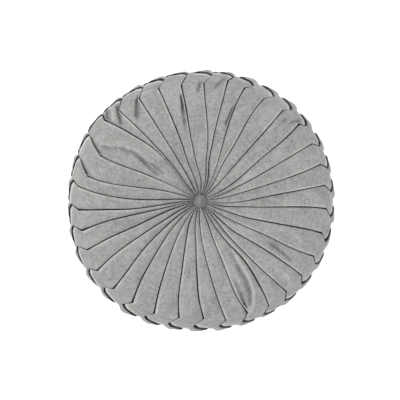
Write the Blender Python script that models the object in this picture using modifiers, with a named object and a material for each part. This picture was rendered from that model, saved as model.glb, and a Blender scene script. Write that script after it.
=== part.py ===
"""Round floor pillow: a smocked, pleated cloth cover, filled, and drawn in at its middle by two covered buttons.

Each face is laid in knife pleats that run from the button to the rim. The rim is the cover's smocked band: every
pleat turns over the edge as a leaning strand, and the strands of the two faces meet in a plait at mid height.
Run in Blender 4.5. Lengths are in metres, angles in degrees, +Z is up, and the pillow lies on z = 0 with the
origin under the middle of its outline.
"""

import math
from collections import namedtuple

import bmesh
import bpy
from mathutils import Vector

# Driving dimensions
REACH = 0.2515  # mean radius over the strands of the rim
THICKNESS = 0.130
BUTTON_RADIUS = 0.014
BUTTON_RISE = 0.0072
SEAT_UPPER = 0.079  # height of the flat that the upper button is pulled down to
SEAT_UNDER = 0.036  # height of the flat over the under button
SEAT_GAP = 0.0003
BUTTON_AT = (-0.0036, 0.0021)  # the tie is not quite in the middle of the outline
BUTTON_SIDES = 32

# The outline is a hand-made round: (waves in a turn, swell in metres, direction of the first swell)
OUTLINE_WAVES = ((2, 0.0034, 7.0), (3, 0.0010, -26.0), (4, 0.0018, 49.0))

# Where each fold of the upper face lies, by its direction seen from the button: at the rim, and at 190, 113, 72
# and 38 mm from the button. Each row is the rolled edge of one pleat, counter-clockwise round the face.
Fold = namedtuple("Fold", "rim outer middle inner button")
UPPER_FOLDS = (
    Fold(7.3, 6.0, 2.9, -1.3, -6.0),
    Fold(17.0, 15.1, 12.7, 10.5, 7.0),
    Fold(27.2, 26.0, 23.0, 20.4, 15.8),
    Fold(38.0, 36.0, 33.2, 28.8, 25.0),
    Fold(47.6, 47.0, 46.2, 44.9, 42.6),
    Fold(58.0, 59.2, 58.6, 58.1, 53.5),
    Fold(68.5, 69.8, 68.2, 64.8, 60.0),
    Fold(77.0, 77.5, 78.3, 77.2, 69.5),
    Fold(88.2, 87.1, 82.8, 81.0, 75.5),
    Fold(99.3, 99.0, 98.2, 95.8, 88.0),
    Fold(110.3, 109.6, 108.1, 107.7, 103.7),
    Fold(120.8, 120.6, 119.2, 118.4, 117.5),
    Fold(132.0, 130.8, 128.8, 128.6, 131.5),
    Fold(141.5, 136.4, 130.8, 131.6, 136.5),
    Fold(152.0, 155.8, 154.0, 152.3, 150.7),
    Fold(163.5, 168.8, 167.2, 164.6, 163.5),
    Fold(173.3, 176.0, 178.9, 178.4, 176.5),
    Fold(184.6, 185.1, 187.0, 186.3, 184.5),
    Fold(194.6, 192.6, 191.8, 191.5, 190.0),
    Fold(203.9, 202.4, 200.9, 198.5, 196.0),
    Fold(214.7, 212.2, 210.1, 208.8, 206.0),
    Fold(226.0, 224.3, 219.3, 217.0, 215.0),
    Fold(237.1, 234.3, 229.4, 225.2, 222.5),
    Fold(248.5, 246.3, 241.6, 237.8, 234.4),
    Fold(260.5, 258.2, 254.9, 251.0, 245.0),
    Fold(272.4, 270.3, 267.3, 264.7, 259.0),
    Fold(282.8, 280.8, 276.8, 273.5, 270.4),
    Fold(293.5, 291.3, 290.7, 289.8, 290.5),
    Fold(303.6, 305.3, 306.4, 302.5, 300.5),
    Fold(314.1, 312.8, 310.6, 309.3, 309.5),
    Fold(324.1, 323.9, 321.9, 318.0, 317.5),
    Fold(334.4, 332.8, 331.7, 329.2, 326.2),
    Fold(345.6, 345.0, 342.2, 339.5, 338.0),
    Fold(356.8, 356.5, 354.1, 351.6, 347.3),
)
FOLD_RADII = (0.230, 0.190, 0.113, 0.072, 0.038)
PLEATS = len(UPPER_FOLDS)
PITCH = 360.0 / PLEATS

# The half sections, each from its button's seat out to the plait's middle line. "fold" is how deep the folds are,
# "lean" how far they have turned round the rim, in pleats, and "strand" how far a pleat has become a strand.
Section = namedtuple("Section", "radius height fold lean strand")
UPPER_SECTIONS = (
    Section(0.0080, SEAT_UPPER, 0.0000, 0.00, 0.0),
    Section(0.0135, SEAT_UPPER, 0.0000, 0.00, 0.0),
    Section(0.0168, 0.0845, 0.0012, 0.00, 0.0),
    Section(0.0220, 0.0905, 0.0024, 0.00, 0.0),
    Section(0.0310, 0.0975, 0.0032, 0.00, 0.0),
    Section(0.0450, 0.1055, 0.0040, 0.00, 0.0),
    Section(0.0640, 0.1130, 0.0046, 0.00, 0.0),
    Section(0.0880, 0.1200, 0.0052, 0.00, 0.0),
    Section(0.1150, 0.1255, 0.0056, 0.00, 0.0),
    Section(0.1430, 0.1290, 0.0060, 0.00, 0.0),
    Section(0.1700, THICKNESS, 0.0064, 0.00, 0.0),
    Section(0.1950, 0.1275, 0.0070, 0.00, 0.0),
    Section(0.2150, 0.1205, 0.0080, 0.00, 0.0),
    Section(0.2290, 0.1110, 0.0095, 0.00, 0.1),
    Section(0.2390, 0.1005, 0.0100, -0.18, 0.3),
    Section(0.2450, 0.0920, 0.0090, -0.33, 0.6),
    Section(0.2485, 0.0850, 0.0085, 0.00, 0.9),
    Section(0.2510, 0.0775, 0.0080, 0.34, 1.0),
    Section(REACH, 0.0710, 0.0070, 0.64, 1.0),
    Section(0.2465, 0.0650, 0.0000, 0.87, 1.0),
)
UNDER_SECTIONS = (
    Section(0.0080, SEAT_UNDER, 0.0000, 0.00, 0.0),
    Section(0.0135, SEAT_UNDER, 0.0000, 0.00, 0.0),
    Section(0.0168, 0.0305, 0.0012, 0.00, 0.0),
    Section(0.0270, 0.0240, 0.0025, 0.00, 0.0),
    Section(0.0440, 0.0150, 0.0032, 0.00, 0.0),
    Section(0.0660, 0.0062, 0.0036, 0.00, 0.0),
    Section(0.0950, 0.0000, 0.0036, 0.00, 0.0),
    Section(0.1300, 0.0000, 0.0038, 0.00, 0.0),
    Section(0.1640, 0.0000, 0.0040, 0.00, 0.0),
    Section(0.1920, 0.0000, 0.0042, 0.00, 0.0),
    Section(0.2130, 0.0065, 0.0070, 0.00, 0.0),
    Section(0.2290, 0.0180, 0.0090, 0.00, 0.1),
    Section(0.2390, 0.0290, 0.0095, -0.18, 0.3),
    Section(0.2450, 0.0380, 0.0090, -0.33, 0.6),
    Section(0.2485, 0.0450, 0.0085, 0.00, 0.9),
    Section(0.2510, 0.0525, 0.0080, 0.34, 1.0),
    Section(REACH, 0.0590, 0.0070, 0.64, 1.0),
)

# Across a pleat, from its rolled edge: the share of the width, and how much of the fold's depth it lies down. The
# same for a strand of the rim, which is rounder. The first point is the bottom of the fold before the edge.
Across = namedtuple("Across", "pleat drop strand strand_drop")
ACROSS = (
    Across(0.00, 1.00, 0.00, 1.00),
    Across(0.10, 0.00, 0.25, 0.12),
    Across(0.50, 0.08, 0.50, 0.00),
    Across(0.87, 0.55, 0.75, 0.40),
)

# Finishes: linear colour, roughness, metallic
CLOTH = ("grey linen-look weave", (0.390, 0.390, 0.381, 1.0), 0.92, 0.0)
BUTTON_CLOTH = ("grey plain weave over a button", (0.330, 0.330, 0.322, 1.0), 0.90, 0.0)


def clear_scene():
    for thing in list(bpy.data.objects):
        bpy.data.objects.remove(thing, do_unlink=True)


def cloth_material(name, colour, roughness, metallic):
    material = bpy.data.materials.new(name)
    material.use_nodes = True
    shader = material.node_tree.nodes["Principled BSDF"]
    shader.inputs["Base Color"].default_value = colour
    shader.inputs["Roughness"].default_value = roughness
    shader.inputs["Metallic"].default_value = metallic
    return material


def smooth_step(value, low, high):
    share = min(max((value - low) / (high - low), 0.0), 1.0)
    return share * share * (3.0 - 2.0 * share)


def between(value, places, heights):
    """The height at value on the line through (places, heights), whose places fall."""
    for i in range(len(places) - 1):
        if value >= places[i + 1]:
            share = (places[i] - value) / (places[i] - places[i + 1])
            return heights[i] + min(max(share, 0.0), 1.0) * (heights[i + 1] - heights[i])
    return heights[-1]


def upper_direction(pleat, radius):
    """The direction of a fold of the upper face at a radius; pleats past the last carry on round."""
    turns, row = divmod(pleat, PLEATS)
    return 360.0 * turns + between(radius, FOLD_RADII, UPPER_FOLDS[row])


def even_direction(pleat):
    """Where the fold would lie if the pleats were all alike."""
    start = sum(fold.rim - PITCH * i for i, fold in enumerate(UPPER_FOLDS)) / PLEATS
    return start + PITCH * pleat


def outline_swell(direction):
    """How far the outline stands out of a true circle in this direction, seen from the button."""
    swell = sum(size * math.cos(math.radians(waves * (direction - peak))) for waves, size, peak in OUTLINE_WAVES)
    turn = math.radians(direction)
    return swell - BUTTON_AT[0] * math.cos(turn) - BUTTON_AT[1] * math.sin(turn)


def section_outward(sections, i):
    """The unit normal of the half section at row i, out of the pillow, as (radial, height)."""
    before = sections[max(i - 1, 0)]
    after = sections[min(i + 1, len(sections) - 1)]
    along = Vector((after.radius - before.radius, after.height - before.height)).normalized()
    side = 1.0 if sections[0].height > THICKNESS / 2 else -1.0
    return Vector((-along.y, along.x)) * side


def ring_of_points(sections, i, edge_direction, columns_back):
    """One row of a half section's points, all the way round. edge_direction(pleat, section) places a fold, and
    columns_back is how many columns before the first pleat the row starts."""
    section = sections[i]
    on_floor = section.height == 0.0  # there the pleats are pressed flat, and only the folds between them rise
    outward = Vector((0.0, -1.0)) if on_floor else section_outward(sections, i)
    ring = []
    for column in range(len(ACROSS) * PLEATS):
        pleat, place = divmod(column - columns_back, len(ACROSS))
        shape = ACROSS[place]
        across = shape.pleat + (shape.strand - shape.pleat) * section.strand
        drop = shape.drop + (shape.strand_drop - shape.drop) * section.strand
        if on_floor and place:
            drop = 0.0
        start, end = edge_direction(pleat, section), edge_direction(pleat + 1, section)
        direction = start + (end - start) * across + PITCH * section.lean
        swell = outline_swell(direction) * smooth_step(section.radius, BUTTON_RADIUS, REACH)
        radius = section.radius + swell - outward.x * section.fold * drop
        turn = math.radians(direction)
        ring.append((
            BUTTON_AT[0] + radius * math.cos(turn),
            BUTTON_AT[1] + radius * math.sin(turn),
            section.height - outward.y * section.fold * drop,
        ))
    return ring


def upper_edge(pleat, section):
    """The upper folds lie as UPPER_FOLDS says, and even out as the strands near the plait's middle line."""
    even = smooth_step(section.strand, 0.6, 1.0)
    return (1.0 - even) * upper_direction(pleat, section.radius) + even * even_direction(pleat)


def under_edge(pleat, _section):
    """The under face is pleated evenly, half a pleat round from the upper one, so that the strands interlock."""
    return even_direction(pleat) + PITCH / 2


def loft(mesh, rings):
    """A closed body through the rings, with a fan of faces over the first and the last."""
    rows = [[mesh.verts.new(point) for point in ring] for ring in rings]
    for upper, lower in zip(rows, rows[1:]):
        for i in range(len(upper)):
            j = (i + 1) % len(upper)
            mesh.faces.new((upper[i], lower[i], lower[j], upper[j]))
    for row in (rows[0], rows[-1]):
        middle = sum((corner.co for corner in row), Vector()) / len(row)
        hub = mesh.verts.new(middle)
        for i in range(len(row)):
            mesh.faces.new((row[i], row[(i + 1) % len(row)], hub))
    bmesh.ops.recalc_face_normals(mesh, faces=mesh.faces)
    bmesh.ops.triangulate(mesh, faces=mesh.faces)


def make_cover(collection):
    half_pleat = len(ACROSS) // 2
    upper = [ring_of_points(UPPER_SECTIONS, i, upper_edge, 0) for i in range(len(UPPER_SECTIONS))]
    under = [ring_of_points(UNDER_SECTIONS, i, under_edge, half_pleat) for i in range(len(UNDER_SECTIONS))]
    mesh = bmesh.new()
    loft(mesh, upper + under[::-1])
    data = bpy.data.meshes.new("cover")
    mesh.to_mesh(data)
    mesh.free()
    data.shade_smooth()
    data.materials.append(cloth_material(*CLOTH))
    cover = bpy.data.objects.new("cover", data)
    collection.objects.link(cover)
    return cover


def make_button(collection, name, seat, up):
    """A covered button: a dome on a flat back, turned about the tie. up is 1 for the upper one and -1 for the other."""
    half_section = (
        (0.00, 1.00),
        (0.30, 0.97),
        (0.58, 0.86),
        (0.82, 0.64),
        (0.96, 0.40),
        (1.00, 0.26),
        (0.95, 0.11),
        (0.80, 0.00),
        (0.00, 0.00),
    )
    points = [(BUTTON_RADIUS * out, 0.0, BUTTON_RISE * rise) for out, rise in half_section]
    data = bpy.data.meshes.new(name)
    data.from_pydata(points, [(i, i + 1) for i in range(len(points) - 1)], [])
    data.materials.append(cloth_material(*BUTTON_CLOTH))
    button = bpy.data.objects.new(name, data)
    collection.objects.link(button)
    turned = button.modifiers.new("turned", "SCREW")
    turned.axis = "Z"
    turned.steps = BUTTON_SIDES
    turned.render_steps = BUTTON_SIDES
    turned.use_merge_vertices = True
    turned.merge_threshold = 0.00005
    turned.use_smooth_shade = True
    button.location = (BUTTON_AT[0], BUTTON_AT[1], seat + up * SEAT_GAP)
    button.rotation_euler = (0.0 if up > 0 else math.pi, 0.0, 0.0)
    return button


def main():
    clear_scene()
    collection = bpy.data.collections.new("Round floor pillow")
    bpy.context.scene.collection.children.link(collection)
    make_cover(collection)
    make_button(collection, "button_top", SEAT_UPPER, 1)
    make_button(collection, "button_under", SEAT_UNDER, -1)


main()
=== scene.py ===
import math
from collections import namedtuple

import bpy
import numpy as np
from bpy.props import FloatProperty, FloatVectorProperty, IntProperty, PointerProperty
from mathutils import Matrix, Vector, noise


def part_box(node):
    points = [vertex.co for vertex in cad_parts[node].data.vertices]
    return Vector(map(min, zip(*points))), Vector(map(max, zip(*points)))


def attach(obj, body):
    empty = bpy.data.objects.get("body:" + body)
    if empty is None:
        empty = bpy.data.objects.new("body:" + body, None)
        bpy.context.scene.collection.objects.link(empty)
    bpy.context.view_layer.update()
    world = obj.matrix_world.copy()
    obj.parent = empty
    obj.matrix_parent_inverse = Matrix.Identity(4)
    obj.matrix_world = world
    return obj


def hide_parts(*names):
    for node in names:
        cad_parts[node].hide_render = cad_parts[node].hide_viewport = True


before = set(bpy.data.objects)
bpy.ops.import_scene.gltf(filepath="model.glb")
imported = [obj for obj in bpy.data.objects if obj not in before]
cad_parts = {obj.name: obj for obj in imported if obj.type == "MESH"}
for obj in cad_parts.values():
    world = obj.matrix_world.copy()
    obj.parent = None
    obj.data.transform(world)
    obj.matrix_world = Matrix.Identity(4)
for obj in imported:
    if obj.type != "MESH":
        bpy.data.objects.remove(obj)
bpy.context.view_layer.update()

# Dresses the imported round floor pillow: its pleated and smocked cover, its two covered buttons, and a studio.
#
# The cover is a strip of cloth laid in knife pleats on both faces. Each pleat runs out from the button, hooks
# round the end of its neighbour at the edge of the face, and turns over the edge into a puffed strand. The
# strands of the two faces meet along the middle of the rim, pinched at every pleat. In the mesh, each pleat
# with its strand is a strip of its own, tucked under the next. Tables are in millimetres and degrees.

bl_info = {
    "name": "Round floor pillow",
    "version": (1, 0, 0),
    "blender": (4, 5, 0),
    "location": "View3D > Sidebar > Pillow",
    "description": "Makes a pleated round floor pillow with a smocked rim and covered buttons",
    "category": "Object",
}

MM = 0.001
# What the mesh tells the cloth's material: where each place lies on the flat cloth, how near it is to a
# rolled edge or a ridge, for a painted highlight there, and how far it is tucked into a fold or pressed into a
# crease, for painted shade there
CLOTH_MAP = "cloth_lie"
PAINTED_HIGHLIGHT_MAP = "fold_edge"
PAINTED_SHADE_MAP = "tucked"

# ----------------------------------------------------------------------------------------------------------
# The pillow's shape

NOMINAL = (506.0, 492.8, 130.0)  # the size that the tables below are for

# A half section of each face: the tops of its pleats out to the edge of the face, then the rim's creases
Row = namedtuple("Row", "radius height")
UPPER_ROWS = (
    Row(9.0, 78.6),
    Row(13.6, 78.6),
    Row(15.0, 81.4),
    Row(16.0, 85.0),
    Row(19.0, 87.8),
    Row(23.0, 91.2),
    Row(31.0, 97.5),
    Row(45.0, 105.5),
    Row(64.0, 113.0),
    Row(88.0, 120.0),
    Row(115.0, 125.5),
    Row(143.0, 129.0),
    Row(170.0, 130.0),
    Row(194.0, 127.3),
    Row(213.0, 121.0),
    Row(226.0, 113.8),
    Row(235.0, 107.0),
    Row(242.0, 100.2),
    Row(246.8, 93.5),
    Row(249.8, 86.5),
    Row(251.2, 79.0),
    Row(251.6, 72.0),
    Row(251.6, 65.0),
    Row(251.6, 58.0),
)
UNDER_ROWS = (
    Row(9.0, 36.0),
    Row(13.2, 35.7),
    Row(16.8, 30.5),
    Row(27.0, 24.0),
    Row(44.0, 15.0),
    Row(66.0, 6.2),
    Row(95.0, 0.0),
    Row(130.0, 0.0),
    Row(164.0, 0.0),
    Row(192.0, 0.0),
    Row(213.0, 7.0),
    Row(226.0, 15.5),
    Row(235.0, 23.0),
    Row(242.0, 30.0),
    Row(246.4, 37.0),
    Row(248.9, 44.0),
    Row(249.9, 51.0),
    Row(250.1, 58.0),
    Row(250.1, 65.0),
    Row(250.1, 72.0),
)
MIDDLE = 65.0  # the height of the middle of the rim
PAST_CROWN = 200.0  # a radius past which each face only falls away
SECTION_STEPS = 2000

# How the outline departs from a circle, growing from the button's edge to the rim
SWELL_FROM, SWELL_TO = 14.0, 251.0
Wave = namedtuple("Wave", "count size peak")
OUTLINE_WAVES = (Wave(2, 3.4, 7.0), Wave(3, 1.0, -26.0), Wave(4, 1.8, 49.0))

# Where each fold of the upper face lies, by its direction seen from the button: at its stitch on the rim, at
# its corner by the rim, and at 190, 113, 72 and 38 mm from the button. Then how far from the button its
# corner and its stitch are.
Fold = namedtuple("Fold", "stitch rim outer middle inner button corner reach")
UPPER_FOLDS = (
    Fold(4.7, 7.7, 7.5, 5.2, 1.5, -2.6, 228, 239),
    Fold(15.0, 17.6, 16.8, 15.4, 13.9, 11.3, 229, 241),
    Fold(25.1, 27.9, 27.9, 26.0, 24.2, 20.6, 229, 240),
    Fold(36.1, 38.9, 38.0, 36.4, 32.8, 30.2, 229, 237),
    Fold(45.9, 48.8, 49.1, 49.5, 49.2, 48.1, 225, 235),
    Fold(55.5, 59.3, 61.2, 61.8, 62.3, 58.9, 224, 235),
    Fold(66.1, 69.8, 71.7, 71.3, 68.9, 65.3, 228, 236),
    Fold(75.8, 78.1, 79.3, 81.2, 80.9, 74.5, 234, 242),
    Fold(85.5, 89.5, 88.8, 85.5, 84.6, 80.2, 225, 239),
    Fold(96.5, 100.4, 100.4, 100.4, 98.7, 92.0, 226, 243),
    Fold(107.4, 111.1, 110.7, 109.8, 109.9, 106.6, 232, 241),
    Fold(117.2, 121.4, 121.3, 120.4, 119.9, 119.4, 229, 242),
    Fold(128.2, 132.2, 131.2, 129.5, 129.5, 132.2, 233, 244),
    Fold(138.7, 140.0, 136.6, 131.4, 132.3, 136.7, 238, 247),
    Fold(149.1, 155.2, 155.4, 153.3, 151.5, 149.7, 210, 244),
    Fold(159.5, 166.9, 167.9, 165.9, 163.0, 161.4, 220, 243),
    Fold(170.5, 172.4, 174.9, 177.0, 176.0, 173.4, 234, 242),
    Fold(180.9, 183.4, 183.7, 184.8, 183.4, 180.9, 230, 241),
    Fold(190.4, 193.2, 191.0, 189.4, 188.4, 186.0, 228, 241),
    Fold(199.6, 202.4, 200.6, 198.2, 195.1, 191.7, 228, 242),
    Fold(210.5, 213.1, 210.3, 207.1, 205.0, 201.2, 229, 239),
    Fold(221.1, 224.4, 222.3, 216.1, 213.0, 209.8, 226, 236),
    Fold(232.6, 235.4, 232.2, 226.1, 221.0, 217.1, 224, 235),
    Fold(243.8, 247.0, 244.3, 238.3, 233.5, 228.9, 225, 235),
    Fold(255.1, 259.0, 256.3, 251.8, 246.9, 239.6, 221, 234),
    Fold(267.0, 271.1, 268.6, 264.5, 261.0, 254.0, 220, 233),
    Fold(278.8, 281.8, 279.4, 274.4, 270.2, 266.0, 229, 237),
    Fold(289.8, 292.7, 290.2, 288.9, 287.4, 287.6, 225, 238),
    Fold(299.8, 303.0, 304.7, 305.5, 301.0, 298.6, 231, 241),
    Fold(310.8, 313.6, 312.5, 309.9, 308.4, 308.5, 227, 239),
    Fold(321.5, 323.8, 324.0, 321.9, 317.7, 317.3, 226, 237),
    Fold(331.4, 334.3, 333.2, 332.3, 329.8, 326.9, 227, 239),
    Fold(342.6, 345.7, 345.8, 343.4, 340.9, 339.9, 227, 236),
    Fold(353.5, 357.0, 357.7, 356.0, 353.9, 350.1, 229, 238),
)
FOLD_RADII = (38.0, 72.0, 113.0, 190.0)
PLEATS = len(UPPER_FOLDS)
PITCH = 360.0 / PLEATS
# The folds of the under face are all alike
UNDER_CORNER = 227.0
UNDER_REACH = 238.0
UNDER_LEAN = 0.28  # from the stitch to the corner, in pleats

# The way of a fold past its corner, by stations: 0 at the seat, 1 at the corner, 2 at the stitch, 3 at the
# notch, 4 at the pinch on the middle of the rim, and on along the middle to the next pinch at 5. "turn" is in
# pleats from the stitch, "drop" is the share of the way down from the stitch to the middle, and "level" is
# how far it stands out from the section, or is sunk where that is below nothing.
Station = namedtuple("Station", "at turn drop level")
RIM_STATIONS = (
    Station(2.0, 0.0, 0.0, 0.0),
    Station(2.2, 0.16, 0.11, 0.4),
    Station(2.5, 0.38, 0.16, 0.0),
    Station(2.75, 0.56, 0.23, -1.0),
    Station(3.0, 0.72, 0.34, -2.7),
    Station(3.5, 0.79, 0.68, -7.6),
    Station(4.0, 0.86, 1.0, -8.0),
)
# The strands lie flatter round one side, as if the pillow had stood on it
LeantOn = namedtuple("LeantOn", "direction spread share")
LEANT_ON = LeantOn(315.0, 42.0, 0.55)
# How far a lift is straight up or down, not square to the face, by station
UPRIGHT = ((0.5, 1.0, 3.0, 3.5), (0.0, 1.0, 1.0, 0.0))
SHORT_OF_MIDDLE = 1.0  # how far before the middle a fold ends at its pinch
TUCK_PAST_MIDDLE = 3.0  # how far past the middle the cloth between two pinches is tucked
# Which station of the next fold each station of a pleat's own fold faces across the cloth
Facing = namedtuple("Facing", "own next")
FACINGS = (
    Facing(0.0, 0.0),
    Facing(0.8, 0.8),
    Facing(1.0, 0.89),
    Facing(2.0, 0.955),
    Facing(2.5, 1.0),
    Facing(3.0, 2.0),
    Facing(3.5, 2.6),
    Facing(4.0, 3.1),
    Facing(5.0, 4.0),
)

# How the cloth of a pleat lies across itself, by the stations of its own fold. The roll is the radius of the
# rolled edge, the puff is how high the filling lifts the cloth between its folds, the crest is where across
# it that is, and the lower the fullness, the flatter and wider the top.
Lie = namedtuple("Lie", "at roll puff crest fullness")
LIES = (
    Lie(0.0, 0.6, 0.6, 0.5, 0.9),
    Lie(0.15, 1.0, 1.8, 0.5, 0.9),
    Lie(0.3, 1.3, 1.9, 0.45, 0.7),
    Lie(0.6, 1.4, 1.6, 0.45, 0.5),
    Lie(1.0, 1.6, 1.4, 0.45, 0.5),
    Lie(1.5, 2.4, 1.4, 0.45, 0.5),
    Lie(2.0, 2.6, 1.6, 0.45, 0.6),
    Lie(2.5, 2.6, 2.2, 0.42, 0.8),
    Lie(3.0, 2.8, 3.5, 0.36, 0.9),
    Lie(3.3, 3.6, 4.9, 0.3, 0.9),
    Lie(3.65, 4.2, 5.6, 0.27, 0.9),
    Lie(4.0, 4.0, 5.6, 0.28, 0.9),
    Lie(4.4, 3.4, 4.8, 0.36, 0.9),
    Lie(4.75, 2.6, 2.4, 0.45, 0.9),
    Lie(5.0, 2.0, -1.0, 0.5, 0.9),
)
# How the same cloth dives under the next pleat, by the stations of the next fold: it runs at its own level,
# over the dip's width it sinks by the dip, turns down over a shoulder, and drops into the gap beside the next
# rolled edge, to its depth.
Dive = namedtuple("Dive", "at level dip width shoulder gap depth")
DIVES = (
    Dive(0.0, 0.0, 0.3, 3.0, 0.8, 1.3, 4.5),
    Dive(0.5, 0.0, 1.0, 7.0, 1.6, 1.6, 8.0),
    Dive(0.93, 0.0, 1.2, 7.0, 1.8, 2.0, 9.0),
    Dive(1.0, 0.0, 1.0, 6.0, 1.6, 3.2, 10.0),
    Dive(1.2, 0.0, 0.6, 6.0, 2.0, 4.6, 11.0),
    Dive(1.8, 0.0, 0.4, 6.0, 2.2, 5.2, 13.0),
    Dive(2.0, 0.8, 0.2, 6.0, 2.0, 6.6, 16.0),
    Dive(2.2, 3.0, 0.0, 6.0, 1.6, 9.5, 24.0),
    Dive(2.5, 3.2, 0.0, 6.0, 1.6, 10.0, 24.0),
    Dive(2.8, 2.8, 0.0, 6.0, 1.6, 9.8, 24.0),
    Dive(3.0, 0.0, 0.6, 8.0, 2.0, 8.6, 20.0),
    Dive(3.4, -7.0, 2.0, 9.0, 2.0, 2.8, 10.0),
    Dive(4.0, -8.0, 2.0, 9.0, 2.0, 1.8, 8.0),
)
# On a narrow pleat each of these takes at most this share of its width
ROLL_SHARE = 0.16
SHOULDER_SHARE = 0.14
GAP_SHARE = 0.26
DIP_SHARE = 0.5
TUCK_SHARE = 0.25
DEPTH_SHARE = 0.7
LEAST_DEPTH = 0.6
LEAST_WIDTH = 0.6
TUCK = 6.0  # how far the hidden ends of a pleat's cloth run under its neighbours

# The small bumps of the filling under the cloth
BUMP_LENGTH = 22.0
BUMP_HEIGHT = 1.8
# How far the painted highlight reaches in from a rolled edge, by station
EDGE_REACH = ((1.7, 2.2, 3.0, 3.4), (1.8, 3.6, 3.6, 2.4))

# Troughs and ridges pressed into the pleats of the upper face, each a straight stroke inward between two
# places given by direction and radius, steeper on its anticlockwise side. A ridge has a depth below nothing.
Crease = namedtuple("Crease", "pleat from_direction from_radius to_direction to_radius depth width")
CREASES = (
    Crease(4, 44.9, 214, 45.4, 189, 4.1, 3.0),
    Crease(4, 39.8, 231, 41.6, 221, 6.1, 3.0),
    Crease(7, 72.4, 187, 74.1, 155, 7.4, 2.6),
    Crease(8, 80.0, 235, 83.2, 221, 6.8, 3.5),
    Crease(9, 91.3, 224, 92.5, 213, 6.8, 3.0),
    Crease(10, 101.2, 207, 102.4, 180, 10.8, 3.6),
    Crease(10, 102.4, 180, 103.3, 152, 7.4, 3.0),
    Crease(12, 122.6, 228, 127.2, 206, 10.8, 4.0),
    Crease(12, 120.6, 219, 119.0, 203, 5.4, 4.0),
    Crease(13, 131.8, 237, 135.8, 214, 10.8, 3.4),
    Crease(13, 136.6, 243, 140.0, 230, 9.5, 4.0),
    Crease(13, 134.0, 243, 137.6, 226, -3.6, 3.0),
    Crease(14, 152.4, 223, 147.6, 190, 2.7, 5.0),
    Crease(14, 150.0, 215, 144.6, 180, -2.4, 5.0),
    Crease(14, 144.6, 180, 142.2, 150, -3.1, 4.0),
    Crease(14, 142.2, 150, 142.0, 118, -3.1, 3.5),
    Crease(14, 146.6, 183, 143.9, 160, 5.4, 3.0),
    Crease(14, 143.9, 160, 144.6, 143, 6.8, 3.0),
    Crease(14, 144.6, 143, 145.9, 127, 7.4, 2.8),
    Crease(14, 145.9, 127, 148.2, 100, 6.8, 2.6),
    Crease(14, 142.6, 119, 143.4, 94, 6.1, 2.4),
    Crease(14, 150.6, 239, 154.6, 214, 10.8, 3.4),
    Crease(15, 161.6, 238, 166.0, 223, 10.8, 3.2),
    Crease(28, 292.6, 216, 293.0, 186, 11.0, 2.8),
    Crease(28, 293.0, 186, 292.8, 160, 6.0, 2.6),
    Crease(28, 294.4, 226, 297.3, 210, -4.0, 3.4),
    Crease(28, 297.3, 210, 300.2, 188, -5.0, 3.4),
    Crease(28, 300.2, 188, 301.8, 165, -5.0, 3.4),
    Crease(28, 301.8, 165, 302.4, 136, -5.0, 3.2),
    Crease(28, 302.4, 136, 303.0, 110, -3.0, 3.0),
    Crease(28, 296.0, 207, 298.4, 185, 5.0, 3.4),
    Crease(28, 298.4, 185, 299.3, 163, 7.0, 3.4),
    Crease(28, 299.3, 163, 299.0, 137, 7.0, 3.2),
    Crease(28, 299.0, 137, 299.5, 108, 4.0, 3.0),
    Crease(30, 316.6, 221, 319.4, 205, -4.0, 3.0),
    Crease(31, 327.2, 189, 329.1, 143, 6.0, 2.4),
)
# The shape of a crease across itself: the widths of its two sides, as shares of its own, and how blunt it is
STEEP_SIDE = 0.65
LONG_SIDE = 1.5
BLUNTNESS = 1.6
SEED = 34  # for the small differences between the pleats


def smooth_curve(places, values):
    """A function that runs smoothly through the values at these rising places."""
    x, y = np.asarray(places, float), np.asarray(values, float)
    slope = np.gradient(y, x)

    def at(where):
        where = np.clip(where, x[0], x[-1])
        i = np.clip(np.searchsorted(x, where, side="right") - 1, 0, len(x) - 2)
        step = x[i + 1] - x[i]
        t = (where - x[i]) / step
        return (
            (2 * t**3 - 3 * t**2 + 1) * y[i]
            + (t**3 - 2 * t**2 + t) * step * slope[i]
            + (3 * t**2 - 2 * t**3) * y[i + 1]
            + (t**3 - t**2) * step * slope[i + 1]
        )

    return at


def column(table, name):
    """One named column of a table, as an array."""
    return np.array([getattr(row, name) for row in table], float)


def ease(value, low, high):
    """0 below low, 1 above high, and smooth between."""
    t = np.clip((value - low) / (high - low), 0.0, 1.0)
    return t * t * (3 - 2 * t)


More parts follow.
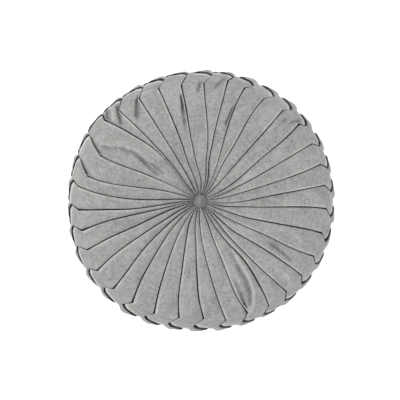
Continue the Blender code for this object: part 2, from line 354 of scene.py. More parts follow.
class Face:
    """One face of the pillow, from its seat to past the rim's middle, by the way along the cloth in mm."""

    def __init__(self, rows, folds, side, tie):
        radius, height = column(rows, "radius"), column(rows, "height")
        self.way = np.concatenate([[0], np.cumsum(np.hypot(np.diff(radius), np.diff(height)))])
        self.radius = smooth_curve(self.way, radius)
        self.height = smooth_curve(self.way, height)
        self.folds, self.side, self.tie = folds, side, tie
        dense = np.linspace(0, self.way[-1], SECTION_STEPS)
        out = self.radius(dense)
        rising = np.arange(len(dense)) <= np.argmax(out)
        self.way_at_radius = lambda r: np.interp(r, out[rising], dense[rising])
        up = self.height(dense) if side > 0 else NOMINAL[2] - self.height(dense)
        past_crown = dense >= self.way_at_radius(PAST_CROWN)
        self.way_at_height = lambda h: np.interp(-h, -up[past_crown], dense[past_crown])
        # Where the first stitch would be if all were evenly apart
        self.even_start = sum(fold.stitch - PITCH * i for i, fold in enumerate(UPPER_FOLDS)) / PLEATS

    def line(self, pleat, stations):
        """The way along, the direction and the level of a fold at these stations."""
        fold = self.folds[pleat % PLEATS]
        turns = 360.0 * (pleat // PLEATS)
        corner = float(self.way_at_radius(fold.corner))
        start = fold.button + 0.3 * (fold.button - fold.inner)
        directions = smooth_curve(
            [0.0, *self.way_at_radius(np.array(FOLD_RADII)), corner],
            [start, fold.button, fold.inner, fold.middle, fold.outer, fold.rim],
        )
        face_way = np.clip(stations, 0, 1) * corner

        middle = float(self.way_at_height(MIDDLE))
        stitch = float(self.way_at_radius(fold.reach))
        top = abs(float(self.height(stitch)) - (0.0 if self.side > 0 else NOMINAL[2]))
        end = MIDDLE + SHORT_OF_MIDDLE
        ways = [float(self.way_at_height(top + (end - top) * station.drop)) for station in RIM_STATIONS]
        ways[0] = stitch
        past_stitch = smooth_curve(column(RIM_STATIONS, "at"), ways)
        past_turn = smooth_curve(column(RIM_STATIONS, "at"), column(RIM_STATIONS, "turn"))
        hook = np.clip(stations - 1, 0, 1)
        rim_way = np.where(stations < 2, corner + (ways[0] - corner) * hook, past_stitch(stations))
        rim_turn = past_turn(np.maximum(stations, 2))
        along_middle = stations > 4
        tucked = middle + TUCK_PAST_MIDDLE * (0.35 + np.sin(np.pi * (stations - 4)))
        rim_way = np.where(along_middle, tucked, rim_way)
        rim_turn = np.where(along_middle, RIM_STATIONS[-1].turn + stations - 4, rim_turn)
        even = self.even_start + PITCH * (pleat % PLEATS)
        base = np.where(
            stations < 2,
            fold.rim + (fold.stitch - fold.rim) * hook,
            fold.stitch + (even - fold.stitch) * ease(stations, 2.0, 4.0),
        )

        on_face = stations <= 1
        direction = np.where(on_face, directions(face_way), base + PITCH * rim_turn)
        level = np.interp(stations, column(RIM_STATIONS, "at"), column(RIM_STATIONS, "level"))
        return np.where(on_face, face_way, rim_way), direction + turns, level

    def place(self, way, direction, level, lift=0.0, upright=0.0):
        """Points on the face in metres, raised square to it by a level and then by a lift, which is straight
        up or down where upright is 1. What it is given is in mm and degrees."""
        step = 0.5
        out = self.radius(way)
        along = np.stack([
            self.radius(way + step) - self.radius(way - step),
            self.height(way + step) - self.height(way - step),
        ])
        along /= np.maximum(np.hypot(*along), 1e-9)
        square = np.stack([-along[1] * self.side, along[0] * self.side])
        lifted = square * (1 - upright) + np.stack([0 * way, 0 * way + self.side]) * upright
        lifted /= np.maximum(np.hypot(*lifted), 1e-9)
        turn = np.radians(direction)
        swell = sum(w.size * np.cos(w.count * (turn - math.radians(w.peak))) for w in OUTLINE_WAVES)
        swell = swell - (self.tie[0] * np.cos(turn) + self.tie[1] * np.sin(turn))
        out = out + swell * ease(out, SWELL_FROM, SWELL_TO) + square[0] * level + lifted[0] * lift
        up = np.maximum(self.height(way) + square[1] * level + lifted[1] * lift, 0.0)
        return np.stack([self.tie[0] + out * np.cos(turn), self.tie[1] + out * np.sin(turn), up], -1) * MM


# How finely a pleat is cut up: rows on the face, then along each part of the strand, and columns on its top
Detail = namedtuple("Detail", "rows columns")
DETAILS = {
    "creased": Detail((54, 7, 10, 9, 8), 26),
    "smooth": Detail((30, 7, 9, 9, 8), 9),
    "under": Detail((13, 5, 7, 8, 7), 6),
}
# How much closer together the rows lie toward the corner, and the columns toward the next pleat
ROW_CROWDING = 1.25
COLUMN_CROWDING = 1.15


def pleat_stations(counts):
    """The stations at which a pleat's rows lie, closer together toward the corner."""
    inner = 1 - (1 - np.linspace(0, 1, counts[0], endpoint=False)) ** ROW_CROWDING
    rim = [np.linspace(i + 1, i + 2, count, endpoint=(i == 3)) for i, count in enumerate(counts[1:])]
    return np.concatenate([inner, *rim])


def seen_from_above(direction, radius):
    """The place in mm at this direction and distance from the button."""
    turn = math.radians(direction)
    return np.array([radius * math.cos(turn), radius * math.sin(turn)])


def pressed(face, pleat, way, turn):
    """How deep the creases of this pleat are pressed at these places, in mm."""
    depth = np.zeros(way.shape)
    out, angle = face.radius(way), np.radians(turn)
    x, y = out * np.cos(angle), out * np.sin(angle)
    for crease in CREASES:
        if face.side < 0 or crease.pleat != pleat + 1:
            continue
        start = seen_from_above(crease.from_direction, crease.from_radius)
        end = seen_from_above(crease.to_direction, crease.to_radius)
        stroke = end - start
        share = np.clip(((x - start[0]) * stroke[0] + (y - start[1]) * stroke[1]) / (stroke @ stroke), 0, 1)
        apart = np.hypot(x - start[0] - share * stroke[0], y - start[1] - share * stroke[1])
        anticlockwise = (x - start[0]) * stroke[1] > (y - start[1]) * stroke[0]
        spread = np.where(anticlockwise, STEEP_SIDE, LONG_SIDE)
        push = crease.depth * np.exp(-((apart / crease.width / spread) ** BLUNTNESS))
        depth = np.where(np.abs(push) > np.abs(depth), push, depth)
    return depth


# edge is the strength of the painted highlight, and tucked the strength of the painted shade
Cloth = namedtuple("Cloth", "points outward crease lie free edge tucked")


def pleat_cloth(face, pleat, detail, uneven):
    """One pleat and its strand, in rows along it and columns across it, from under its own rolled edge to
    under the next pleat's: its points, which way is outward, how deep it is creased, where on the flat cloth
    each point lies, how free it is to be puffed, how near it is to the pleat's rolled edge or a ridge, where a
    painted highlight is laid, and how far it is tucked into a fold or pressed into a crease, where painted
    shade is laid."""
    own = pleat_stations(detail.rows)
    facing = np.interp(own, column(FACINGS, "own"), column(FACINGS, "next"))
    way0, turn0, level0 = face.line(pleat, own)
    way1, turn1, _ = face.line(pleat + 1, facing)
    level1 = np.interp(facing, column(DIVES, "at"), column(DIVES, "level"))
    start, end = face.place(way0, turn0, level0), face.place(way1, turn1, level1)
    width = np.maximum(np.linalg.norm(end - start, axis=1) / MM, LEAST_WIDTH)

    def lie(name):
        return np.interp(own, column(LIES, "at"), column(LIES, name))

    def dive(name, where):
        return np.interp(where, column(DIVES, "at"), column(DIVES, name))

    # No two pleats are pressed alike, least of all near the button
    slack = np.random.default_rng([SEED, pleat % PLEATS, face.side + 1]).uniform(-1, 1, 3)
    near_button = 1 - ease(own, 0.1, 0.6)
    wander = np.array([noise.noise(Vector((2.3 * at, 7.7 * pleat, face.side))) for at in facing])
    loose = 1 + uneven * ((0.15 + 0.35 * near_button) * slack[0] + 0.9 * wander)
    roll = np.minimum(lie("roll"), ROLL_SHARE * width)
    shoulder = np.minimum(dive("shoulder", facing), SHOULDER_SHARE * width)
    gap = np.minimum(dive("gap", facing), GAP_SHARE * width) * loose
    deepest = DEPTH_SHARE * width + LEAST_DEPTH
    depth = np.minimum(dive("depth", facing), deepest)
    depth_under = np.minimum(dive("depth", own), deepest)
    dip_width = np.minimum(dive("width", facing), DIP_SHARE * width)
    tuck = np.minimum(TUCK, TUCK_SHARE * width)
    from_lean = (turn0 - LEANT_ON.direction + 180) % 360 - 180
    flatter = LEANT_ON.share * np.exp(-((from_lean / LEANT_ON.spread) ** 2))
    flatter = flatter * ease(own, 2.2, 3.0)
    level0, level1 = level0 * (1 - flatter), level1 * (1 - 0.6 * flatter)
    puff = lie("puff") * (1 + uneven * 0.3 * slack[1]) * (1 - flatter)
    bias = np.log(0.5) / np.log(lie("crest") * (1 + 0.1 * uneven * slack[2]))

    # Each column by its step across the pleat, its lift, and how free it is. First the end hidden under the
    # pleat's own rolled edge, and then the roll, round from below
    steps, lifts, free = [], [], []
    for share, low in ((1.0, 1.0), (0.5, 0.7)):
        steps.append(tuck * share)
        lifts.append(-(2 * roll + (depth_under + 1 - 2 * roll) * low))
        free.append(0.0)
    for angle in np.radians((270, 225, 180, 150, 120, 90)):
        steps.append(roll + roll * np.cos(angle))
        lifts.append(-roll + roll * np.sin(angle))
        free.append(0.0)

    # Then its top, and over the shoulder into the gap and under the next pleat
    top = width - gap - shoulder - roll
    for share in 1 - (1 - np.arange(1, detail.columns + 1) / detail.columns) ** COLUMN_CROWDING:
        across = roll + top * share
        rise = puff * np.sin(np.pi * np.clip(share, 1e-6, 1) ** bias) ** lie("fullness")
        sink = dive("dip", facing) * ease(across, width - gap - shoulder - dip_width, width - gap)
        steps.append(across)
        lifts.append(rise - sink)
        free.append(math.sin(math.pi * share) ** 0.5 if share < 0.999 else 0.0)
    sunk = lifts[-1]
    for angle in np.radians((60, 30, 0)):
        steps.append(width - gap - shoulder + shoulder * np.cos(angle))
        lifts.append(sunk - shoulder + shoulder * np.sin(angle))
        free.append(0.0)
    steps.append(width - gap + 0.25 * gap)
    lifts.append(sunk - shoulder - (depth - shoulder) * 0.8)
    free.append(0.0)
    for share in (0.5, 1.0):
        steps.append(width + tuck * share)
        lifts.append(-(depth + 1.5 + 1.0 * share))
        free.append(0.0)

    steps, lifts = np.array(steps).T, np.array(lifts).T
    share = steps / width[:, None]
    way = way0[:, None] + (way1 - way0)[:, None] * share
    turn = turn0[:, None] + (turn1 - turn0)[:, None] * share
    level = level0[:, None] + (level1 - level0)[:, None] * np.clip(share, 0, 1)
    upright = np.interp(own, *UPRIGHT)[:, None], np.interp(facing, *UPRIGHT)[:, None]
    upright = upright[0] + (upright[1] - upright[0]) * np.clip(share, 0, 1)
    free = np.broadcast_to(np.array(free), steps.shape)
    points = face.place(way, turn, level, lifts, upright)
    outward = face.place(way, turn, level, lifts + 1, upright) - points
    bumps = np.array([noise.noise(Vector(point) / (BUMP_LENGTH * MM)) for point in points.reshape(-1, 3)])
    points = points + outward * (uneven * BUMP_HEIGHT * bumps.reshape(steps.shape) * free)[..., None]
    crease = pressed(face, pleat, way, turn) * (free > 0)
    lie_at = np.stack([steps + 61.0 * pleat, way * face.side], -1) * MM
    # Painted highlight: the cloth is drawn paler along the pleat's rolled edge, unevenly and most on the rim,
    # and on ridges, where light would catch them
    painted_highlight = np.array([0.6 + noise.noise(Vector((3.1 * at, 4.9 * pleat, face.side + 5.0))) for at in own])
    painted_highlight = (painted_highlight * ease(own, 0.0, 0.4) * (1 + 0.8 * ease(own, 1.7, 2.2)))[:, None]
    reach = np.interp(own, *EDGE_REACH)[:, None]
    edge = painted_highlight * np.exp(-(((steps - roll[:, None]) / reach) ** 2)) * (lifts > -roll[:, None])
    edge = np.maximum(np.clip(edge, 0, 1), np.clip(-crease / 6, 0, 1))
    # Painted shade: the cloth is drawn darker where it sinks below its rolled edge into a fold, and a little in
    # pressed troughs
    tucked = np.maximum(np.clip((-lifts - roll[:, None] - 1) / 5, 0, 1), 0.25 * np.clip(crease / 10, 0, 1))
    return Cloth(points, outward, crease, lie_at, free, edge, tucked)


class Weaver:
    """Gathers the strips of cloth, one for each pleat and its strand, into one mesh."""

    def __init__(self):
        self.quads, self.parts = [], {name: [] for name in Cloth._fields}
        self.count = 0

    def add(self, cloth, flip):
        rows, columns = cloth.points.shape[:2]
        corner = self.count + np.arange(rows * columns).reshape(rows, columns)
        round_each = corner[:-1, :-1], corner[:-1, 1:], corner[1:, 1:], corner[1:, :-1]
        quads = np.stack(round_each, -1).reshape(-1, 4)
        self.quads.append(quads[:, ::-1] if flip else quads)
        for name, values in cloth._asdict().items():
            size = 1 if values.ndim == 2 else values.shape[-1]
            self.parts[name].append(values.reshape(-1, size))
        self.count += rows * columns

    def finish(self):
        """All the corners' values, and the quads between them."""
        values = Cloth(*(np.concatenate(self.parts[name]) for name in Cloth._fields))
        return values, np.concatenate(self.quads)


def link(name, points, quads):
    """A new mesh object with these points and faces, in the scene."""
    data = bpy.data.meshes.new(name)
    data.from_pydata(points.tolist(), [], quads.tolist())
    piece = bpy.data.objects.new(name, data)
    bpy.context.scene.collection.objects.link(piece)
    return piece


# How much of its hold the sewing loses over the cloth that is free to be puffed
FREED = 0.97


def puff_up(cloth, quads, pressure, steps, cap):
    """Lets Blender's Cloth blow the filling up between the folds, which stay where they are sewn. Returns the
    points after it. No point moves further than the cap."""
    shown = (cloth.free[quads, 0] > 0).any(axis=1)
    used, flat = np.unique(quads[shown], return_inverse=True)
    sheet = link("puffed sheet", cloth.points[used], flat.reshape(-1, 4))
    sewn = sheet.vertex_groups.new(name="sewn")
    for corner, free in enumerate(cloth.free[used, 0]):
        sewn.add([corner], 1.0 - FREED * float(free > 0), "REPLACE")
    modifier = sheet.modifiers.new("puff", "CLOTH")
    modifier.settings.vertex_group_mass = sewn.name
    modifier.settings.use_pressure = True
    modifier.settings.uniform_pressure_force = pressure
    modifier.settings.effector_weights.gravity = 0.0
    modifier.settings.quality = 3
    modifier.collision_settings.use_collision = False
    modifier.point_cache.frame_start = 1
    modifier.point_cache.frame_end = steps
    scene = bpy.context.scene
    for step in range(1, steps + 1):
        scene.frame_set(step)
    puffed = sheet.evaluated_get(bpy.context.evaluated_depsgraph_get()).data
    moved = np.empty(len(used) * 3)
    puffed.vertices.foreach_get("co", moved)
    move = moved.reshape(-1, 3) - cloth.points[used]
    length = np.maximum(np.linalg.norm(move, axis=1, keepdims=True), 1e-9)
    if not np.isfinite(move).all():
        raise RuntimeError("the cloth did not settle")
    points = cloth.points.copy()
    points[used] += move / length * cap * np.tanh(length / cap)
    scene.frame_set(1)
    data = sheet.data
    bpy.data.objects.remove(sheet)
    bpy.data.meshes.remove(data)
    return points


def make_cover(settings):
    """The cover as one mesh: both faces' pleats and the smocked rim, puffed, creased and dressed."""
    low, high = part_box("button_top")
    tie = ((low[0] + high[0]) / 2 / MM, (low[1] + high[1]) / 2 / MM)
    upper = Face(UPPER_ROWS, UPPER_FOLDS, 1, tie)
    even = []
    for i in range(PLEATS):
        direction = upper.even_start + PITCH * i
        even.append(Fold(direction, *[direction + PITCH * UNDER_LEAN] * 5, UNDER_CORNER, UNDER_REACH))
    under = Face(UNDER_ROWS, even, -1, tie)
    weaver = Weaver()
    for pleat in range(PLEATS):
        creased = any(crease.pleat == pleat + 1 for crease in CREASES)
        detail = DETAILS["creased" if creased else "smooth"]
        weaver.add(pleat_cloth(upper, pleat, detail, settings.unevenness), True)
        weaver.add(pleat_cloth(under, pleat, DETAILS["under"], settings.unevenness), False)
    cloth, quads = weaver.finish()

    points = cloth.points
    if settings.pressure > 0:
        points = puff_up(cloth, quads, settings.pressure, settings.settling_steps, settings.puff_limit)
    points = points - cloth.outward * cloth.crease
    points[:, 2] = np.maximum(points[:, 2], 0.0)
    low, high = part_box("cover")
    size = np.array([high[i] - low[i] for i in range(3)]) / (np.array(NOMINAL) * MM)
    piece = link("cover_cloth", points * size, quads)
    piece.data.validate()
    piece.data.shade_smooth()
    lie_on_cloth(piece, cloth.lie)
    # The strengths of the painted highlight and of the painted shade, for the material
    for name, amount in ((PAINTED_HIGHLIGHT_MAP, cloth.edge), (PAINTED_SHADE_MAP, cloth.tucked)):
        stored = piece.data.attributes.new(name, "FLOAT", "POINT")
        stored.data.foreach_set("value", amount.astype(np.float32).ravel())
    piece.data.materials.append(slub_linen("Slub linen-look polyester, plain woven", settings))
    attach(piece, "root")
    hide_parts("cover")
    return piece


# ----------------------------------------------------------------------------------------------------------
# Its buttons

# Half of a covered button, from beside the middle of its dome to its back, by radius and by height over its
# seat, and how strongly the cloth is gathered there
ButtonRow = namedtuple("ButtonRow", "radius height gathered")
BUTTON_ROWS = (
    ButtonRow(2.0, 7.3, 0.0),
    ButtonRow(4.5, 7.1, 0.0),
    ButtonRow(7.0, 6.6, 0.0),
    ButtonRow(9.0, 5.9, 0.1),
    ButtonRow(10.8, 5.0, 0.3),
    ButtonRow(12.3, 3.9, 0.6),
    ButtonRow(13.4, 2.6, 0.9),
    ButtonRow(14.0, 1.2, 1.0),
    ButtonRow(13.9, 0.1, 1.0),
    ButtonRow(13.0, -0.6, 0.8),
    ButtonRow(11.5, -0.8, 0.4),
)
BUTTON_WIDTH = 28.0  # the size that the rows above are for
BUTTON_RISE = 7.2
BUTTON_CROWN = 7.35
BUTTON_RINGS = 26
BUTTON_STEPS = 72
# The buttons have the cover's cloth, but its threads are drawn this many times finer there, and darker
BUTTON_WEAVE = 1.5
BUTTON_DARKENING = 0.45


def make_button(name, node, side, settings):
    """A dome button covered with cloth, which is gathered round its edge to the back."""
    low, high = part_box(node)
    middle = Vector(((low[0] + high[0]) / 2, (low[1] + high[1]) / 2, 0))
    seat = low[2] if side > 0 else high[2]
    size = (high[0] - low[0]) / (BUTTON_WIDTH * MM)
    rise = (high[2] - low[2]) / (BUTTON_RISE * MM)
    points, lie = [(middle.x, middle.y, seat + side * BUTTON_CROWN * MM * rise)], [(0.0, 0.0)]
    way = np.linspace(0, len(BUTTON_ROWS) - 1, BUTTON_RINGS)
    radii = smooth_curve(range(len(BUTTON_ROWS)), column(BUTTON_ROWS, "radius"))(way)
    heights = smooth_curve(range(len(BUTTON_ROWS)), column(BUTTON_ROWS, "height"))(way)
    gathered = np.interp(way, range(len(BUTTON_ROWS)), column(BUTTON_ROWS, "gathered"))
    for radius, height, gather in zip(radii, heights, gathered):
        for step in range(BUTTON_STEPS):
            turn = math.tau * step / BUTTON_STEPS
            across, along = math.cos(turn), math.sin(turn)
            pinch = math.cos(settings.gathers * turn + 1.7 * along) + 0.5 * math.cos(9 * turn + 1.0)
            out = radius * MM * size + gather * settings.gather_depth * pinch
            up = height * MM * rise + 0.5 * gather * settings.gather_depth * pinch
            points.append((middle.x + out * across, middle.y + out * along, seat + side * up))
            lie.append((BUTTON_WEAVE * radius * MM * across, BUTTON_WEAVE * radius * MM * along))
    faces = [(0, 1 + step, 1 + (step + 1) % BUTTON_STEPS) for step in range(BUTTON_STEPS)]
    for row in range(len(way) - 1):
        for step in range(BUTTON_STEPS):
            a = 1 + row * BUTTON_STEPS + step
            b = 1 + row * BUTTON_STEPS + (step + 1) % BUTTON_STEPS
            faces.append((a, a + BUTTON_STEPS, b + BUTTON_STEPS, b))
    last = 1 + (len(way) - 1) * BUTTON_STEPS
    faces.append(tuple(last + step for step in reversed(range(BUTTON_STEPS))))
    data = bpy.data.meshes.new(name)
    data.from_pydata(points, [], [face if side > 0 else face[::-1] for face in faces])
    data.validate()
    data.shade_smooth()
    piece = bpy.data.objects.new(name, data)
    bpy.context.scene.collection.objects.link(piece)
    lie_on_cloth(piece, np.array(lie))
    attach(piece, "root")
    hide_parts(node)
    return piece


# ----------------------------------------------------------------------------------------------------------
# What it is made of

Yarn = namedtuple("Yarn", "across along colour relief")
# Patches of the cloth that differ, by their size in mm across and along the strip, and their shares of its
# colour and relief. Yarns of this kind lie about 0.7 mm apart, too fine to show, so the thread rows are drawn
# 1.8 to 2.4 mm wide. Slubs, the thick places in a yarn, are drawn 8 to 30 mm long.
YARNS = (
    Yarn(1.8, 8.0, 1.0, 0.5),
    Yarn(8.0, 1.8, 1.0, 0.5),
    Yarn(2.4, 30.0, 0.6, 0.35),
    Yarn(30.0, 2.4, 0.7, 0.35),
    Yarn(5.0, 6.0, 0.4, 0.3),
    Yarn(12.0, 16.0, 0.45, 0.4),
    Yarn(34.0, 60.0, 0.7, 0.3),
)
# The colours toward which the cloth is drawn for its painted highlight and for its painted shade
PAINTED_HIGHLIGHT_COLOUR = "#E8E8E5"
PAINTED_SHADE_COLOUR = "#2B2B2A"


def linear(colour):
    """An sRGB hex colour as the linear red, green, blue and alpha that a shader takes."""
    parts = [int(colour[i : i + 2], 16) / 255 for i in (1, 3, 5)]
    return (*(p / 12.92 if p <= 0.04045 else ((p + 0.055) / 1.055) ** 2.4 for p in parts), 1.0)


def add(material, kind, inputs=None, **settings):
    """Adds a node with these settings. Each input takes another node's output, or a value."""
    tree = material.node_tree
    node = tree.nodes.new(kind)
    for name, value in settings.items():
        setattr(node, name, value)
    for name, value in (inputs or {}).items():
        if isinstance(value, bpy.types.NodeSocket):
            tree.links.new(value, node.inputs[name])
        else:
            node.inputs[name].default_value = value
    return node


def new_material(name):
    """An empty node material, and its shader, joined to its output."""
    material = bpy.data.materials.new(name)
    material.use_nodes = True
    material.node_tree.nodes.clear()
    shader = add(material, "ShaderNodeBsdfPrincipled")
    add(material, "ShaderNodeOutputMaterial", {"Surface": shader.outputs["BSDF"]})
    return material, shader


def lie_on_cloth(piece, lie):
    """Gives the piece a map of where each of its corners lies on the flat cloth, in metres."""
    layer = piece.data.uv_layers.new(name=CLOTH_MAP)
    corners = np.empty(len(piece.data.loops), int)
    piece.data.loops.foreach_get("vertex_index", corners)
    layer.data.foreach_set("uv", np.asarray(lie)[corners].astype(np.float32).ravel())


def slub_linen(name, settings, stretched=0.0):
    """Piece-dyed polyester yarn of uneven thickness, plain woven in a linen look and left unfinished: a dry,
    matt surface with pale and dark yarns crossing and thick slubs. It is drawn with a painted highlight along
    rolled edges and ridges, and with painted shade where it is tucked into a fold or pressed into a crease.
    Where stretched is given, as for a button, it is drawn darker all over."""
    material, shader = new_material(name)
    lie = add(material, "ShaderNodeUVMap", uv_map=CLOTH_MAP)
    colour = relief = None
    for yarn in YARNS:
        scale = (1 / (yarn.across * MM), 1 / (yarn.along * MM), 1.0)
        place = add(material, "ShaderNodeMapping", {"Vector": lie.outputs["UV"], "Scale": scale})
        patch = add(
            material,
            "ShaderNodeTexNoise",
            {"Vector": place.outputs["Vector"], "Scale": 1.0, "Detail": 2.0, "Roughness": 0.6},
            noise_dimensions="2D",
        )
        for share in ("colour", "relief"):
            before = colour if share == "colour" else relief
            weighed = add(
                material,
                "ShaderNodeMath",
                {0: patch.outputs["Fac"], 1: getattr(yarn, share), 2: before if before else 0.0},
                operation="MULTIPLY_ADD",
            )
            if share == "colour":
                colour = weighed.outputs["Value"]
            else:
                relief = weighed.outputs["Value"]
    middle = sum(yarn.colour for yarn in YARNS) / 2
    shade = add(
        material,
        "ShaderNodeMapRange",
        {"Value": colour, "From Min": middle - 0.5, "From Max": middle + 0.5, "To Min": 0.0, "To Max": 1.0},
    )
    # The yarn colours, both drawn darker where stretched is given
    tint = add(
        material,
        "ShaderNodeMix",
        {
            "Factor": shade.outputs["Result"],
            "A": (*(share * (1 - stretched) for share in settings.dark_yarn), 1.0),
            "B": (*(share * (1 - stretched / 2) for share in settings.pale_yarn), 1.0),
        },
        data_type="RGBA",
    )
    # Painted highlight: paler along rolled edges and ridges
    edge = add(material, "ShaderNodeAttribute", attribute_name=PAINTED_HIGHLIGHT_MAP)
    painted_highlight_share = add(
        material,
        "ShaderNodeMath",
        {0: edge.outputs["Fac"], 1: settings.edge_bloom},
        operation="MULTIPLY",
    )
    painted_highlight = add(
        material,
        "ShaderNodeMix",
        {"Factor": painted_highlight_share.outputs["Value"], "A": tint.outputs["Result"], "B": linear(PAINTED_HIGHLIGHT_COLOUR)},
        data_type="RGBA",
    )
    # Painted shade: darker where the cloth is tucked into a fold or pressed into a crease
    tucked = add(material, "ShaderNodeAttribute", attribute_name=PAINTED_SHADE_MAP)
    shadow = add(
        material,
        "ShaderNodeMath",
        {0: tucked.outputs["Fac"], 1: settings.fold_shade},
        operation="MULTIPLY",
    )
    shaded = add(
        material,
        "ShaderNodeMix",
        {"Factor": shadow.outputs["Value"], "A": painted_highlight.outputs["Result"], "B": linear(PAINTED_SHADE_COLOUR)},
        data_type="RGBA",
    )
    dry = add(
        material,
        "ShaderNodeMapRange",
        {"Value": shade.outputs["Result"], "To Min": 0.96, "To Max": 0.84},
    )
    bump = add(
        material,
        "ShaderNodeBump",
        {"Height": relief, "Strength": 0.6, "Distance": settings.thread_relief},
    )
    tree = material.node_tree
    tree.links.new(shaded.outputs["Result"], shader.inputs["Base Color"])
    tree.links.new(dry.outputs["Result"], shader.inputs["Roughness"])
    tree.links.new(bump.outputs["Normal"], shader.inputs["Normal"])
    shader.inputs["Sheen Weight"].default_value = 0.08
    shader.inputs["Sheen Roughness"].default_value = 0.5
    shader.inputs["Specular IOR Level"].default_value = 0.3
    return material


def lit_acrylic():
    """The opal acrylic sheet of a shooting table, lit from below: even, white and without a shadow."""
    material, shader = new_material("Opal acrylic shooting table, cast and lit from below")
    shader.inputs["Base Color"].default_value = linear("#F3F3F3")
    shader.inputs["Roughness"].default_value = 0.6
    shader.inputs["Emission Color"].default_value = linear("#FFFFFF")
    shader.inputs["Emission Strength"].default_value = 0.45
    return material


# ----------------------------------------------------------------------------------------------------------
# The studio

# The soft lamp: its side, its rise over the table, its distance and its width. The camera leans to its side
LAMP_SIDE = math.radians(160)
LAMP_RISE = math.radians(45)
LAMP_DISTANCE = 2.2
LAMP_WIDTH = 2.4
CAMERA_SIDE = math.radians(145)


def set_stage(settings):
    """A lit white table, an even room, one large soft lamp, and a camera that looks down on the pillow."""
    scene = bpy.context.scene
    half = settings.table_size / 2
    corners = np.array([(-half, -half, 0), (half, -half, 0), (half, half, 0), (-half, half, 0)])
    table = link("shooting table", corners - (0, 0, 0.5 * MM), np.array([[0, 1, 2, 3]]))
    table.data.materials.append(lit_acrylic())

    world = bpy.data.worlds.new("white room")
    world.use_nodes = True
    room = world.node_tree.nodes["Background"]
    room.inputs["Color"].default_value = linear("#FFFFFF")
    room.inputs["Strength"].default_value = settings.room_brightness
    scene.world = world

    lamp = bpy.data.lights.new("soft box", "AREA")
    lamp.energy = settings.lamp_power
    lamp.size = LAMP_WIDTH
    box = bpy.data.objects.new("soft box", lamp)
    level = math.cos(LAMP_RISE)
    toward_lamp = Vector((level * math.cos(LAMP_SIDE), level * math.sin(LAMP_SIDE), math.sin(LAMP_RISE)))
    box.location = toward_lamp * LAMP_DISTANCE
    box.rotation_euler = (-box.location).to_track_quat("-Z", "Y").to_euler()
    scene.collection.objects.link(box)

    lens = bpy.data.cameras.new("camera")
    camera = bpy.data.objects.new("camera", lens)
    lean, away = settings.camera_lean, settings.camera_distance
    aside = math.sin(lean)
    back = Vector((aside * math.cos(CAMERA_SIDE), aside * math.sin(CAMERA_SIDE), math.cos(lean)))
    right = Vector((0, 1, 0)).cross(back).normalized()
    camera.location = Vector(settings.camera_target) + back * away
    camera.rotation_euler = Matrix((right, back.cross(right), back)).transposed().to_euler()
    lens.lens = lens.sensor_width * away / settings.view_width
    scene.collection.objects.link(camera)
    scene.camera = camera
    scene.view_settings.view_transform = "Standard"
    return camera


# ----------------------------------------------------------------------------------------------------------
# The sizes and colours that can be changed, and the tools that use them


class PillowClothSettings(bpy.types.PropertyGroup):
    """The cover's cloth and how it is filled."""

    dark_yarn: FloatVectorProperty(
        name="Dark yarn",
        description="Colour of the cloth where its yarns are darkest",
        subtype="COLOR",
        min=0.0,
        max=1.0,
        default=linear("#7E7E7C")[:3],
    )
    pale_yarn: FloatVectorProperty(
        name="Pale yarn",
        description="Colour of the cloth where its yarns are palest",
        subtype="COLOR",
        min=0.0,
        max=1.0,
        default=linear("#AEAEAC")[:3],
    )
    fold_shade: FloatProperty(
        name="Fold shade",
        description="How much darker the cloth is where it is tucked into a fold or pressed in",
        subtype="FACTOR",
        min=0.0,
        max=1.0,
        default=0.75,
    )
    # How strongly the painted highlight pales the cloth along its rolled edges and ridges
    edge_bloom: FloatProperty(
        name="Edge bloom",
        description="How much paler the cloth is along its rolled edges and ridges",
        subtype="FACTOR",
        min=0.0,
        max=1.0,
        default=0.34,
    )
    thread_relief: FloatProperty(
        name="Thread relief",
        description="How far the thick yarns stand above the thin ones",
        subtype="DISTANCE",
        min=0.0,
        default=0.0009,
    )
    unevenness: FloatProperty(
        name="Unevenness",
        description="How much the pleats differ, from 0 for all alike to 1",
        subtype="FACTOR",
        min=0.0,
        max=1.0,
        default=0.8,
    )
    pressure: FloatProperty(
        name="Filling pressure",
        description="How hard the filling pushes the cloth out between the folds",
        min=0.0,
        default=4.0,
    )
    settling_steps: IntProperty(
        name="Settling steps",
        description="Steps for which the cloth is puffed",
        min=1,
        default=20,
    )
    puff_limit: FloatProperty(
        name="Puff limit",
        description="The furthest that the filling may push the cloth",
        subtype="DISTANCE",
        min=0.0001,
        default=0.002,
    )


class PillowButtonSettings(bpy.types.PropertyGroup):
    """The covered buttons."""

    gathers: IntProperty(
        name="Gathers",
        description="Small gathers round a button's edge",
        min=3,
        default=14,
    )
    gather_depth: FloatProperty(
        name="Gather depth",
        description="How deep the gathers are",
        subtype="DISTANCE",
        min=0.0,
        default=0.00022,
    )


class PillowStageSettings(bpy.types.PropertyGroup):
    """The studio in which the pillow is shown."""

    table_size: FloatProperty(
        name="Table size",
        description="Length of each side of the white table",
        subtype="DISTANCE",
        min=1.0,
        default=12.0,
    )
    room_brightness: FloatProperty(
        name="Room brightness",
        description="Brightness of the white room",
        min=0.0,
        default=1.0,
    )
    lamp_power: FloatProperty(
        name="Lamp power",
        description="Power of the soft lamp",
        unit="POWER",
        min=0.0,
        default=14.0,
    )
    camera_lean: FloatProperty(
        name="Camera lean",
        description="How far the camera leans from straight above the pillow",
        subtype="ANGLE",
        default=math.radians(7),
    )
    camera_distance: FloatProperty(
        name="Camera distance",
        description="From the camera to the pillow's middle",
        subtype="DISTANCE",
        min=0.5,
        default=2.4,
    )
    camera_target: FloatVectorProperty(
        name="Camera target",
        description="The point at which the camera looks",
        subtype="XYZ",
        unit="LENGTH",
        default=(-0.0026, 0.0032, 0.065),
    )
    view_width: FloatProperty(
        name="View width",
        description="Width of the view at the pillow",
        subtype="DISTANCE",
        min=0.1,
        default=0.756,
    )


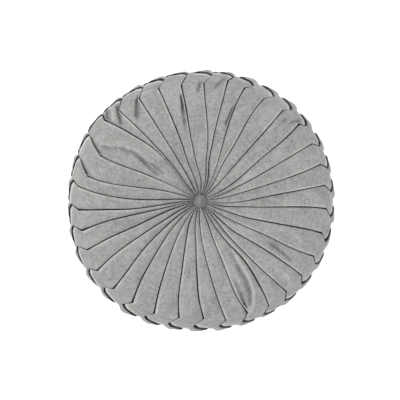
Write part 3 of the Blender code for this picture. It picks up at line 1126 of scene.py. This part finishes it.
class PILLOW_OT_make_cover(bpy.types.Operator):
    """Make the pillow's pleated and smocked cover"""

    bl_idname = "pillow.make_cover"
    bl_label = "Make the cover"

    def execute(self, context):
        make_cover(context.scene.pillow_cloth)
        return {"FINISHED"}


class PILLOW_OT_make_buttons(bpy.types.Operator):
    """Make the two covered buttons that draw the pillow's middle in"""

    bl_idname = "pillow.make_buttons"
    bl_label = "Make the buttons"

    def execute(self, context):
        settings = context.scene.pillow_button
        finish = "Slub linen-look polyester, stretched over a button"
        cloth = slub_linen(finish, context.scene.pillow_cloth, BUTTON_DARKENING)
        for name, node, side in (
            ("covered_button_top", "button_top", 1),
            ("covered_button_under", "button_under", -1),
        ):
            make_button(name, node, side, settings).data.materials.append(cloth)
        return {"FINISHED"}


class PILLOW_OT_set_stage(bpy.types.Operator):
    """Set up the white table, the lights and the camera"""

    bl_idname = "pillow.set_stage"
    bl_label = "Set the stage"

    def execute(self, context):
        set_stage(context.scene.pillow_stage)
        return {"FINISHED"}


class PILLOW_PT_tools(bpy.types.Panel):
    """The pillow's settings, each above the tool that uses them"""

    bl_idname = "PILLOW_PT_tools"
    bl_label = "Round floor pillow"
    bl_space_type = "VIEW_3D"
    bl_region_type = "UI"
    bl_category = "Pillow"

    def draw(self, context):
        for group, tool in SECTIONS:
            settings = getattr(context.scene, group)
            box = self.layout.box()
            for name in settings.__annotations__:
                box.prop(settings, name)
            box.operator(tool)


SECTIONS = (
    ("pillow_cloth", PILLOW_OT_make_cover.bl_idname),
    ("pillow_button", PILLOW_OT_make_buttons.bl_idname),
    ("pillow_stage", PILLOW_OT_set_stage.bl_idname),
)
GROUPS = {
    "pillow_cloth": PillowClothSettings,
    "pillow_button": PillowButtonSettings,
    "pillow_stage": PillowStageSettings,
}
CLASSES = (
    *GROUPS.values(),
    PILLOW_OT_make_cover,
    PILLOW_OT_make_buttons,
    PILLOW_OT_set_stage,
    PILLOW_PT_tools,
)


def register():
    for kind in CLASSES:
        bpy.utils.register_class(kind)
    for name, group in GROUPS.items():
        setattr(bpy.types.Scene, name, PointerProperty(type=group))


def unregister():
    for name in GROUPS:
        delattr(bpy.types.Scene, name)
    for kind in reversed(CLASSES):
        bpy.utils.unregister_class(kind)


def main():
    register()
    bpy.ops.pillow.make_cover()
    bpy.ops.pillow.make_buttons()
    bpy.ops.pillow.set_stage()


if __name__ == "__main__":
    main()
